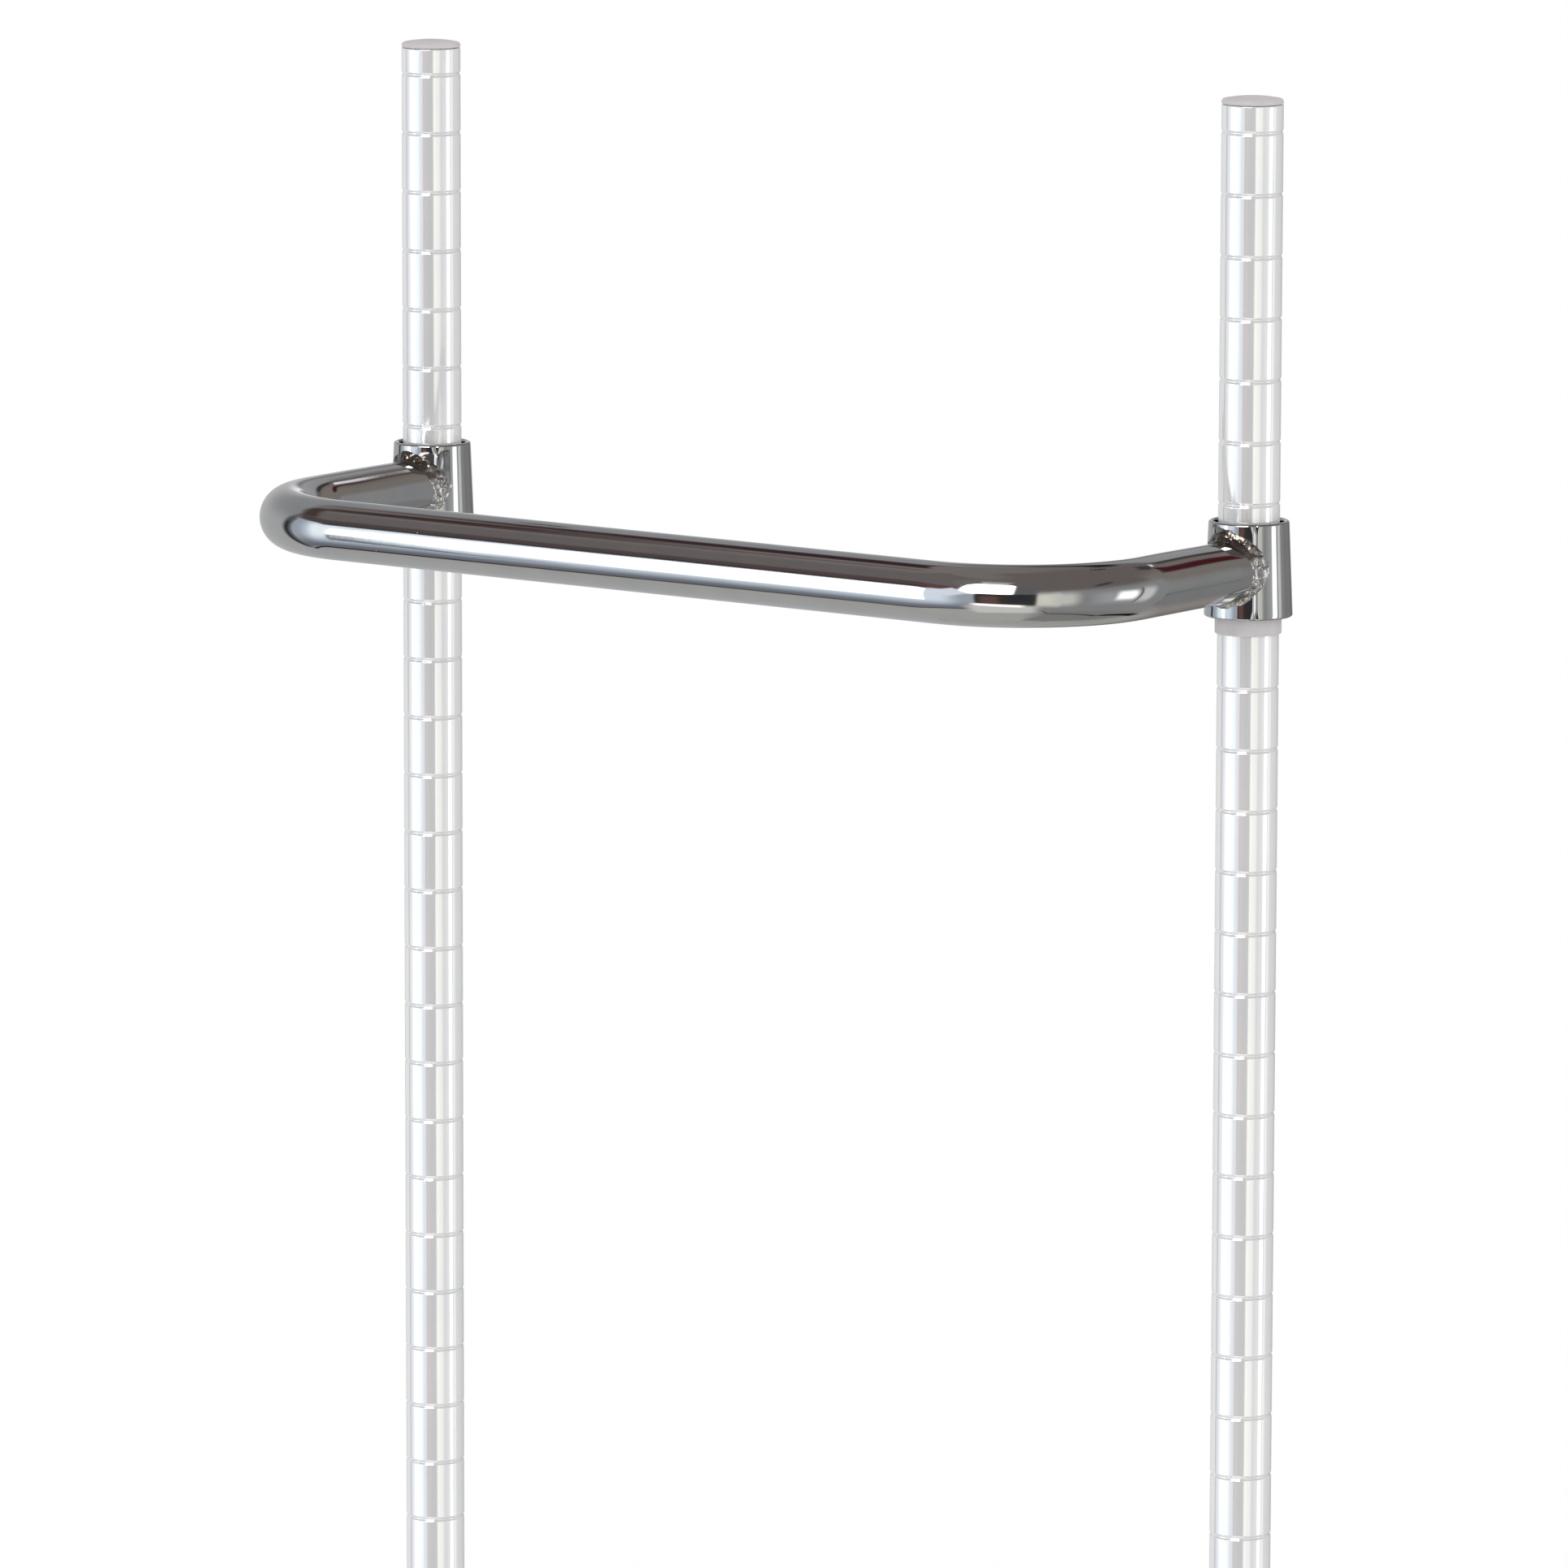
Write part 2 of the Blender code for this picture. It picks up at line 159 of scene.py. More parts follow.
THREAD_PITCH = 25.4 * MM / 16
THREAD_DEPTH = 0.85 * MM
THREAD_STEPS = 10  # rings in one pitch
STEM_RADIUS = 4.75 * MM
STEM_POINT = 1.5 * MM  # chamfer at the screw's upper end
HEX_ACROSS_FLATS = 15.9 * MM
HEX_HEIGHT = 6.0 * MM
HEX_CHAMFER = 0.8 * MM
NECK_RADIUS = 3.5 * MM
STUD_HEAD_RADIUS = 5.75 * MM
STUD_HEAD_HEIGHT = 1.8 * MM
INSERT_EDGE = 0.4 * MM
PAD_FLOOR = 1.5 * MM
PAD_EDGE = 1.4 * MM
PAD_SOLE_EDGE = 0.8 * MM
PAD_STEP_SHARE = 0.62  # of the pad's radius

# ---- Camera -----------------------------------------------------------------------------------
CAMERA_PLACE = Vector((2.6600, -3.6185, HANDLE_HEIGHT + 0.5986))
CAMERA_AZIMUTH = 36.56  # degrees from -Y towards +X
CAMERA_PITCH = 8.97  # degrees down
CAMERA_ROLL = 0.12
CAMERA_LENS = 246.6  # mm, on a 36 mm sensor

# ---- The studio that the metal reflects -------------------------------------------------------
# Each card is a soft-edged patch of the sky, in degrees: its azimuth from -Y towards +X, its
# elevation, its width and height, the softness of its sides and of its top and bottom, its tilt,
# and its light. A later card covers an earlier one.
Card = namedtuple("Card", "name azimuth elevation width height soft_side soft_top tilt light")
CEILING = (0.20, 0.17, 0.16)
CARDS = (
    Card("ceiling_left", -75, 62, 170, 40, 25, 6, 0, (0.27, 0.235, 0.225)),
    Card("softbox_glow", 10, 48, 36, 14, 8, 5, 0, (0.75, 0.70, 0.67)),
    Card("floor", 0, -90, 720, 110, 400, 14, 0, (0.57, 0.56, 0.53)),
    Card("floor_right", 108, -66, 116, 50, 16, 9, 0, (0.31, 0.30, 0.29)),
    Card("floor_line", 148, -54.5, 46, 4.6, 5, 1, 14, (0.01, 0.01, 0.01)),
    Card("floor_line_right", 92, -59.5, 70, 2.4, 6, 0.8, -4, (0.06, 0.06, 0.06)),
    Card("floor_line_near", 53, -47, 22, 2.0, 4, 0.7, -55, (0.12, 0.12, 0.11)),
    # Behind the object, to the right and then to the left.
    Card("behind", 158, 4, 46, 66, 6, 8, 0, (0.28, 0.25, 0.225)),
    Card("behind_low", 158, -14, 34, 40, 8, 8, 0, (0.29, 0.29, 0.29)),
    Card("behind_gap", 142.5, 0, 4.5, 44, 1.5, 5, 0, (0.15, 0.12, 0.10)),
    Card("behind_gap_low", 143, -16.5, 8, 4, 2, 1.5, 0, (0.05, 0.05, 0.045)),
    Card("back_left", -158, 8, 20, 56, 3, 4, 0, (0.40, 0.40, 0.41)),
    Card("arch_rising", -119, 47.8, 30, 4.4, 4, 1.2, 22, (0.06, 0.03, 0.035)),
    Card("arch_top", -92, 51.8, 22, 1.6, 5, 0.5, 0, (0.05, 0.02, 0.02)),
    Card("back_wall", -111, -1, 68, 90, 2, 3, 0, (0.36, 0.37, 0.38)),
    Card("back_wall_low", -111, -22, 68, 74, 3, 14, 0, (0.56, 0.56, 0.56)),
    Card("back_glow", -144.5, 0, 6, 12, 2.5, 7, 0, (1.1, 1.1, 1.12)),
    # A dark arch over the back, and the strip of light in it.
    Card("arch_falling", -153, 40.5, 32, 6, 3, 1.6, -33, (0.03, 0.02, 0.02)),
    Card("arch_side", -172.5, 27, 7, 18, 2, 2.5, 0, (0.06, 0.05, 0.05)),
    Card("arch_peak", 171, 43, 18, 7, 4, 2, 0, (0.08, 0.07, 0.07)),
    Card("arch_red", 164.5, 32.3, 17, 5, 3, 1.4, 38, (0.08, 0.014, 0.018)),
    Card("arch_glint", 180, 38.8, 9, 1.4, 2, 0.5, 0, (1.3, 1.3, 1.3)),
    # The bright screen at the left front, what is above and beside it, and its foot.
    Card("screen", -33, -10, 80, 64, 2.5, 1.5, -1, (0.23, 0.24, 0.28)),
    Card("screen_lit", -33, 5, 80, 62, 2.5, 13, -1, (0.52, 0.57, 0.64)),
    Card("screen_mid", -33, 0, 46, 48, 9, 14, 0, (1.05, 1.17, 1.30)),
    Card("screen_spot", -43, 2, 16, 32, 5, 9, 4, (1.35, 1.45, 1.5)),
    Card("spot", -34.4, 0, 9, 34, 1.0, 3, 0, (3, 3, 3)),
    Card("above_screen", -38, 44, 70, 44, 8, 2, 0, (0.21, 0.185, 0.18)),
    Card("dark_corner", -79, 41, 36, 13, 5, 4, -30, (0.09, 0.065, 0.06)),
    Card("above_screen_dark", -42, 27.5, 60, 11, 8, 2.5, -3, (0.12, 0.095, 0.09)),
    Card("red_prop", -24, 25.5, 32, 9, 4, 2, 4, (0.20, 0.085, 0.08)),
    Card("screen_gap", -76, -10, 9, 64, 2.5, 4, -4, (0.14, 0.14, 0.14)),
    Card("screen_gap_line", -77.5, -16, 3, 52, 1.5, 5, -6, (0.03, 0.03, 0.03)),
    Card("spot_edge", -41.0, -17, 0.8, 18, 0.3, 2.5, -11.5, (0.12, 0.13, 0.16)),
    Card("black_edge", -37, 21.5, 17, 5.5, 4, 1.2, -6, (0.08, 0.065, 0.07)),
    Card("screen_foot_left", -67, -43.5, 26, 2.4, 3, 0.8, 6, (0.02, 0.02, 0.02)),
    Card("screen_foot", -31, -41.8, 54, 1.8, 6, 0.9, 0, (0.05, 0.05, 0.05)),
    # The right: a dim screen with brighter stretches, a pole and a patch.
    Card("right_screen", 97, -12, 98, 70, 2, 8, 0, (0.35, 0.35, 0.35)),
    Card("right_near", 54, -7, 17, 44, 1.5, 9, 0, (0.94, 0.92, 0.80)),
    Card("right_near_glow", 56, -5, 15, 22, 4, 9, 0, (1.02, 0.99, 0.88)),
    Card("right_mid", 65, -6, 16, 40, 6, 12, 0, (0.84, 0.83, 0.76)),
    Card("right_glow", 105, -8, 38, 32, 10, 10, 0, (0.52, 0.52, 0.52)),
    Card("right_far", 125, -8, 12, 32, 4, 9, -8, (0.85, 0.85, 0.83)),
    Card("right_spot", 108.5, -5, 14, 20, 3, 8, -6, (2.2, 2.2, 2.15)),
    Card("right_pole", 119, -8, 2, 40, 0.8, 5, -6, (0.20, 0.20, 0.20)),
    Card("dark_patch", 99, 35, 18, 4, 4, 2.5, 20, (0.05, 0.05, 0.045)),
    # The front right: a softbox with cut corners over a dark gap, and the lit floor.
    Card("softbox", 12.8, 29, 36, 33.5, 1.8, 3.0, -3, (6, 6, 6)),
    Card("softbox_corner_left", -9.5, 50, 20, 20, 2, 2, 45, (0.24, 0.21, 0.20)),
    Card("softbox_corner_right", 36, 49, 15, 15, 2, 2, 45, CEILING),
    Card("softbox_corner_low", -11.5, 13, 20, 20, 2, 2, 45, (1.1, 1.15, 1.25)),
    Card("column", 39.5, 24, 13, 36, 2.5, 5, 0, (0.17, 0.17, 0.17)),
    Card("gap", 25.5, -5.5, 40, 37, 1.5, 1.5, 0, (0.06, 0.05, 0.045)),
    Card("gap_brown", 15, -8, 12, 26, 3, 4, 0, (0.17, 0.10, 0.085)),
    Card("gap_blue", 36, 0, 16, 22, 4, 4, 0, (0.04, 0.045, 0.055)),
    Card("floor_front", 22, -42, 50, 26, 6, 5, 0, (0.88, 0.87, 0.82)),
    Card("floor_white", 20, -27, 34, 8, 4, 2.5, -8, (2, 1.9, 1.85)),
)


# ---- Node helpers -----------------------------------------------------------------------------
class Nodes:
    """Adds nodes to a node tree and links their inputs; a tuple or number is set on the socket."""

    def __init__(self, tree):
        self.tree = tree

    def add(self, kind, inputs=(), **settings):
        node = self.tree.nodes.new(kind)
        for name, value in settings.items():
            setattr(node, name, value)
        for key, value in dict(inputs).items():
            self.set(node.inputs[key], value)
        return node

    def set(self, socket, value):
        if isinstance(value, bpy.types.NodeSocket):
            self.tree.links.new(value, socket)
        else:
            socket.default_value = value

    def math(self, operation, *values):
        return self.add("ShaderNodeMath", enumerate(values), operation=operation).outputs[0]

    def mix(self, factor, first, second):
        node = self.add("ShaderNodeMix", data_type="RGBA")
        self.set(node.inputs[0], factor)
        self.set(node.inputs[6], first)
        self.set(node.inputs[7], second)
        return node.outputs[2]


# ---- World ------------------------------------------------------------------------------------
def card_mask(nodes, card, direction):
    """How much of a card covers the sky direction, from 0 to 1."""
    place = (card.azimuth, card.elevation, 0)
    offset = nodes.add("ShaderNodeVectorMath", operation="SUBTRACT", inputs={0: direction, 1: place})
    wrapped = nodes.add(
        "ShaderNodeVectorMath",
        operation="WRAP",
        inputs={0: offset.outputs[0], 1: (180, 180, 180), 2: (-180, -180, -180)},
    )
    turned_round = nodes.add(
        "ShaderNodeVectorRotate",
        rotation_type="Z_AXIS",
        inputs={"Vector": wrapped.outputs[0], "Angle": -math.radians(card.tilt)},
    )
    size = nodes.add("ShaderNodeVectorMath", operation="ABSOLUTE", inputs={0: turned_round.outputs[0]})
    soft = Vector((card.soft_side, card.soft_top, 1))
    half = Vector((card.width / 2, card.height / 2, 1))
    fade = nodes.add("ShaderNodeMapRange", data_type="FLOAT_VECTOR", interpolation_type="SMOOTHSTEP")
    sockets = {socket.identifier: socket for socket in fade.inputs}
    nodes.set(sockets["Vector"], size.outputs[0])
    nodes.set(sockets["From_Min_FLOAT3"], half - soft)
    nodes.set(sockets["From_Max_FLOAT3"], half + soft)
    nodes.set(sockets["To_Min_FLOAT3"], (1, 1, 1))
    nodes.set(sockets["To_Max_FLOAT3"], (0, 0, 0))
    parts = nodes.add("ShaderNodeSeparateXYZ", inputs={0: fade.outputs["Vector"]})
    return nodes.math("MULTIPLY", parts.outputs[0], parts.outputs[1])


def make_world():
    """White for the camera and for plain surfaces; the studio's cards for what metal reflects."""
    world = bpy.data.worlds.new("studio")
    bpy.context.scene.world = world
    world.use_nodes = True
    world.cycles.sampling_method = "NONE"
    tree = world.node_tree
    tree.nodes.clear()
    nodes = Nodes(tree)
    way = nodes.add("ShaderNodeTexCoord").outputs["Generated"]
    axes = nodes.add("ShaderNodeSeparateXYZ", inputs={0: way})
    azimuth = nodes.math("ARCTAN2", axes.outputs[0], nodes.math("MULTIPLY", axes.outputs[1], -1))
    elevation = nodes.math("ARCSINE", axes.outputs[2])
    direction = nodes.add(
        "ShaderNodeCombineXYZ",
        inputs={0: nodes.math("DEGREES", azimuth), 1: nodes.math("DEGREES", elevation)},
    ).outputs[0]
    light = (*CEILING, 1)
    for card in CARDS:
        light = nodes.mix(card_mask(nodes, card, direction), light, (*card.light, 1))
    path = nodes.add("ShaderNodeLightPath")
    seen = nodes.mix(path.outputs["Is Glossy Ray"], (1, 1, 1, 1), light)
    background = nodes.add("ShaderNodeBackground", inputs={"Color": seen})
    nodes.add("ShaderNodeOutputWorld", inputs={"Surface": background.outputs[0]})


# ---- Stage ------------------------------------------------------------------------------------
def make_camera():
    azimuth, pitch = math.radians(CAMERA_AZIMUTH), math.radians(CAMERA_PITCH)
    back = Vector(
        (math.sin(azimuth) * math.cos(pitch), -math.cos(azimuth) * math.cos(pitch), math.sin(pitch))
    )
    camera = bpy.data.objects.new("camera", bpy.data.cameras.new("camera"))
    bpy.context.scene.collection.objects.link(camera)
    camera.data.sensor_width = 36
    camera.data.lens = CAMERA_LENS
    camera.location = CAMERA_PLACE
    camera.rotation_mode = "QUATERNION"
    roll = Quaternion((0, 0, 1), math.radians(CAMERA_ROLL))
    camera.rotation_quaternion = back.to_track_quat("Z", "Y") @ roll
    bpy.context.scene.camera = camera


def make_floor():
    """A wide, pale floor that the metal doesn't mirror, because the studio's cards have their own."""
    shape = bmesh.new()
    bmesh.ops.create_grid(shape, x_segments=1, y_segments=1, size=60)
    floor = new_object("floor", shape)
    material = bpy.data.materials.new("floor_white")
    material.use_nodes = True
    shader = material.node_tree.nodes["Principled BSDF"]
    shader.inputs["Base Color"].default_value = (1, 1, 1, 1)
    shader.inputs["Roughness"].default_value = 1
    shader.inputs["Specular IOR Level"].default_value = 0
    floor.data.materials.append(material)
    floor.visible_glossy = False


# ---- Mesh helpers -----------------------------------------------------------------------------
def new_object(name, shape):
    """Turns a bmesh into a linked object."""
    mesh = bpy.data.meshes.new(name)
    shape.to_mesh(mesh)
    shape.free()
    piece = bpy.data.objects.new(name, mesh)
    bpy.context.scene.collection.objects.link(piece)
    return piece


def ring_mesh(name, rings, joined_ends, sharp_degrees=30):
    """A closed surface through closed rings of points.

    The last ring joins the first, or else both are closed with a flat face.
    """
    shape = bmesh.new()
    rows = [[shape.verts.new(point) for point in ring] for ring in rings]
    pairs = list(zip(rows, rows[1:]))
    if joined_ends:
        pairs.append((rows[-1], rows[0]))
    for here, there in pairs:
        for i in range(len(here)):
            j = (i + 1) % len(here)
            shape.faces.new((here[i], here[j], there[j], there[i]))
    if not joined_ends:
        shape.faces.new(rows[0])
        shape.faces.new(rows[-1])
    bmesh.ops.recalc_face_normals(shape, faces=shape.faces)
    piece = new_object(name, shape)
    piece.data.shade_smooth()
    piece.data.set_sharp_from_angle(angle=math.radians(sharp_degrees))
    return piece


def even_angles(count):
    return [2 * math.pi * i / count for i in range(count)]


def around(centre, angle, radius, height):
    """The point at an angle from -Y towards +X about the vertical through the centre."""
    return Vector((centre.x + radius * math.sin(angle), centre.y - radius * math.cos(angle), height))


def turned(name, centre, profile, joined_ends, angles=None, change=None, sharp_degrees=30):
    """A shape turned about the vertical through the centre, from (radius, height) points.

    change(angle, radius, height) gives the radius there, for what isn't round.
    """
    rings = []
    for radius, height in profile:
        ring = []
        for angle in angles or even_angles(ROUND_SIDES):
            real = change(angle, radius, height) if change else radius
            ring.append(around(centre, angle, real, height))
        rings.append(ring)
    return ring_mesh(name, rings, joined_ends, sharp_degrees)


def arc(centre_radius, centre_height, radius, start, end, steps=6):
    """(radius, height) points on an arc, in degrees; 0 is outwards and 90 is up."""
    points = []
    for i in range(steps + 1):
        angle = math.radians(start + (end - start) * i / steps)
        points.append((centre_radius + radius * math.cos(angle), centre_height + radius * math.sin(angle)))
    return points


def smooth(x):
    """Rises smoothly from 0 at 0 to 1 at 1."""
    x = min(max(x, 0.0), 1.0)
    return x * x * (3 - 2 * x)


def dress(piece, body, material, slot_name, *nodes):
    """Gives a piece its material and its place in the frame, and hides the CAD nodes it stands for."""
    piece.data.materials.append(material)
    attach(piece, body)
    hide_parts(*nodes)


# ---- Posts and caps ---------------------------------------------------------------------------
def groove_heights():
    heights = []
    height = POST_TOP - END_TO_GROOVE
    while height > POST_BOTTOM + END_TO_GROOVE - GAP:
        heights.append(height)
        height -= GROOVE_PITCH
    return heights


def make_post(side, material):
    """A tube with a shallow, round-bottomed groove rolled in at every pitch."""
    bore = POST_RADIUS - POST_WALL
    end = POST_END_ROUND
    profile = arc(POST_RADIUS - end, POST_TOP - end, end, 90, 0)
    beside = GROOVE_HALF_WIDTH + BESIDE_GROOVE
    for height in groove_heights():
        profile.append((POST_RADIUS, height + beside))
        for i in range(GROOVE_STEPS + 1):
            across = 1 - 2 * i / GROOVE_STEPS
            depth = GROOVE_DEPTH * (1 + math.cos(math.pi * across)) / 2
            profile.append((POST_RADIUS - depth, height + across * GROOVE_HALF_WIDTH))
        profile.append((POST_RADIUS, height - beside))
    profile += arc(POST_RADIUS - end, POST_BOTTOM + end, end, 0, -90)
    profile += [(bore, POST_BOTTOM), (bore, POST_TOP)]
    post = turned(f"{side}_post_fine", middle(f"{side}_post"), profile, True)
    post.visible_glossy = False  # the studio's cards hold what the handle reflects behind it
    dress(post, "post_frame", material, "post_chrome", f"{side}_post")


def make_cap(side, material):
    """A moulded cap: a low dome with a rounded edge, and a hollow spigot inside the post."""
    spigot = POST_RADIUS - POST_WALL - GAP
    edge_radius = POST_RADIUS - CAP_EDGE
    edge_height = CAP_TOP - CAP_DOME - CAP_EDGE
    profile = []
    for share in (0.03, 0.2, 0.4, 0.6, 0.75, 0.9):
        profile.append((edge_radius * share, CAP_TOP - CAP_DOME * share * share))
    profile += arc(edge_radius, edge_height, CAP_EDGE, 80, 0)
    profile += arc(POST_RADIUS - GAP, POST_TOP + 2 * GAP, GAP, 0, -90, 3)
    profile += [(spigot, POST_TOP + GAP), (spigot, POST_TOP - CAP_SPIGOT_LENGTH)]
    profile += [(spigot - POST_WALL, POST_TOP - CAP_SPIGOT_LENGTH), (spigot - POST_WALL, POST_TOP)]
    profile.append((CORE_RADIUS, POST_TOP))
    cap = turned(f"{side}_post_cap_fine", middle(f"{side}_post_cap"), profile, False)
    dress(cap, "post_frame", material, "cap_plastic", f"{side}_post_cap")


# ---- Handle -----------------------------------------------------------------------------------
def collar_radius(height):
    """The collar's outer radius at a height above the floor."""
    share = (height - HANDLE_HEIGHT + COLLAR_HALF) / (2 * COLLAR_HALF)
    return COLLAR_BOTTOM_RADIUS + (COLLAR_TOP_RADIUS - COLLAR_BOTTOM_RADIUS) * share


def seam_angles():
    """Even angles all round, and close ones across the seam."""
    reach = 2 * (SEAM_HALF_WIDTH + SEAM_FLARE) / COLLAR_TOP_RADIUS
    angles = [a for a in even_angles(ROUND_SIDES) if abs(a - SEAM_ANGLE) > reach]
    angles += [SEAM_ANGLE + reach * (2 * i / SEAM_STEPS - 1) for i in range(SEAM_STEPS + 1)]
    return sorted(angles)


def make_collar(side, material):
    """A tapered ring, rolled from strip, whose butt seam stays as a fine groove."""
    top = HANDLE_HEIGHT + COLLAR_HALF
    bottom = HANDLE_HEIGHT - COLLAR_HALF
    rim = COLLAR_RIM
    profile = arc(collar_radius(top) - rim, top - rim, rim, 90, 0)
    for i in range(1, COLLAR_ROWS):
        height = top - rim - (2 * COLLAR_HALF - 2 * rim) * i / COLLAR_ROWS
        profile.append((collar_radius(height), height))
    profile += arc(collar_radius(bottom) - rim, bottom + rim, rim, 0, -90)
    bottom_bore = COLLAR_BOTTOM_RADIUS - COLLAR_BOTTOM_WALL
    top_bore = COLLAR_TOP_RADIUS - COLLAR_TOP_WALL
    profile += [(bottom_bore + GAP, bottom), (bottom_bore, bottom + GAP)]
    profile += arc(top_bore + rim, top - rim, rim, 180, 90)

    def with_seam(angle, radius, height):
        from_rim = COLLAR_HALF - abs(height - HANDLE_HEIGHT)
        half_width = SEAM_HALF_WIDTH + SEAM_FLARE * (1 - smooth(from_rim / (4 * rim)))
        across = (angle - SEAM_ANGLE) * radius / half_width
        outside = radius > collar_radius(height) - 2 * rim
        return radius - (SEAM_DEPTH * math.exp(-across * across) if outside else 0.0)

    name = f"{side}_collar"
    collar = turned(f"{name}_fine", middle(name), profile, True, seam_angles(), with_seam)
    dress(collar, "handle", material, "handle_chrome", name)


def handle_stations():
    """Points, directions and bend shares along the tube's axis, between the two coped ends.

    The bend share is 0 on the straight stretches and 1 in the middle half of each bend.
    """
    half = middle("right_post").x
    turn = -BAR_Y - BEND_RADIUS  # where an arm's straight part ends, as a distance from the posts
    start = COLLAR_BOTTOM_RADIUS + WELD_LEG_ON_TUBE
    stations = []
    count = round((turn - start) / TUBE_STEP)
    for i in range(count):
        stations.append((Vector((-half, -start - (turn - start) * i / count)), Vector((0, -1)), 0.0))
    for i in range(BEND_STEPS + 1):
        angle = math.pi / 2 * i / BEND_STEPS
        along = Vector((math.sin(angle), -math.cos(angle)))
        centre = Vector((-half + BEND_RADIUS, -turn))
        point = centre + BEND_RADIUS * Vector((-math.cos(angle), -math.sin(angle)))
        bend = smooth(4 * i / BEND_STEPS) * smooth(4 * (BEND_STEPS - i) / BEND_STEPS)
        stations.append((point, along, bend))
    bar = 2 * (half - BEND_RADIUS)
    count = round(bar / TUBE_STEP)
    for i in range(1, count // 2 + 1):
        stations.append((Vector((-half + BEND_RADIUS + bar * i / count, BAR_Y)), Vector((1, 0)), 0.0))
    mirrored = []
    for point, along, bend in reversed(stations[:-1]):
        mirrored.append((Vector((-point.x, point.y)), Vector((along.x, -along.y)), bend))
    return stations + mirrored


def coped_ring(side, radius):
    """The tube's end, cut to lie on the collar."""
    sign = -1 if side == "left" else 1
    centre = middle(f"{side}_collar")
    ring = []
    for angle in even_angles(ROUND_SIDES):
        x = -sign * radius * math.sin(angle)
        height = HANDLE_HEIGHT + radius * math.cos(angle)
        reach = math.sqrt((collar_radius(height) + GAP) ** 2 - x * x)
        ring.append(Vector((centre.x + x, centre.y - reach, height)))
    return ring


def tube_rings(radius, waves):
    """Rings from the left coped end to the right one; waves are the surface's slight unevenness."""
    rings = [coped_ring("left", radius)]
    travelled = 0.0
    last = None
    for point, along, bend in handle_stations():
        travelled += (point - last).length if last else 0.0
        last = point
        outwards = Vector((along.y, -along.x, 0))
        heated = 1 + (ARM_UNEVENNESS - 1) * smooth((point.y - BAR_Y) / BEND_RADIUS)
        ring = []
        for angle in even_angles(ROUND_SIDES):
            wave = heated * sum(
                size * math.sin(turns * angle + travelled * 2 * math.pi / length + shift)
                for size, turns, length, shift in waves
            )
            across = radius * (1 - BEND_FLATTENING * bend) + wave
            tall = radius * (1 + BEND_FLATTENING * bend / 3) + wave
            place = Vector((point.x, point.y, HANDLE_HEIGHT))
            rise = Vector((0, 0, tall * math.cos(angle)))
            ring.append(place - outwards * across * math.sin(angle) + rise)
        rings.append(ring)
    rings.append(coped_ring("right", radius))
    return rings


def make_handle_tube(material):
    """The bent tube, slightly flattened in its bends and coped at both ends."""
    chance = random.Random(7)
    waves = []
    for turns, length in TUBE_WAVES:
        size = TUBE_UNEVENNESS * chance.uniform(0.4, 1.0) / turns
        waves.append((size, turns, length, chance.uniform(0, 2 * math.pi)))
    outside = tube_rings(TUBE_RADIUS, waves)
    inside = tube_rings(TUBE_RADIUS - TUBE_WALL, [])
    tube = ring_mesh("handle_tube_fine", outside + inside[::-1], True, 40)
    dress(tube, "handle", material, "handle_chrome", "handle_tube")


def on_tube(side, angle, distance):
    """A point on the tube, that far along it from where it meets the collar."""
    centre = middle(f"{side}_collar")
    x = TUBE_RADIUS * math.sin(angle)
    height = HANDLE_HEIGHT + TUBE_RADIUS * math.cos(angle)
    reach = math.sqrt(collar_radius(height) ** 2 - x * x)
    return Vector((centre.x + x, centre.y - reach - distance, height))


def on_collar(side, angle, distance):
    """A point on the collar, that far outside the tube."""
    centre = middle(f"{side}_collar")
    radius = TUBE_RADIUS + distance
    x = radius * math.sin(angle)
    height = HANDLE_HEIGHT + radius * math.cos(angle)
    reach = math.sqrt(max(collar_radius(height) ** 2 - x * x, 0.0))
    return Vector((centre.x + x, centre.y - reach, height))


def lumps(point):
    """Rounded lumps with creases between them, and a slow swell, as a height for a point."""
    near = noise.voronoi(point / WELD_LUMP_SPACING)[0]
    crease = min((near[1] - near[0]) * WELD_CREASE_STEEPNESS, 1.0)
    swell = noise.noise(point / WELD_SWELL_SPACING)
    return WELD_LUMP_HEIGHT * (smooth(crease) - near[0]) + WELD_SWELL_HEIGHT * swell


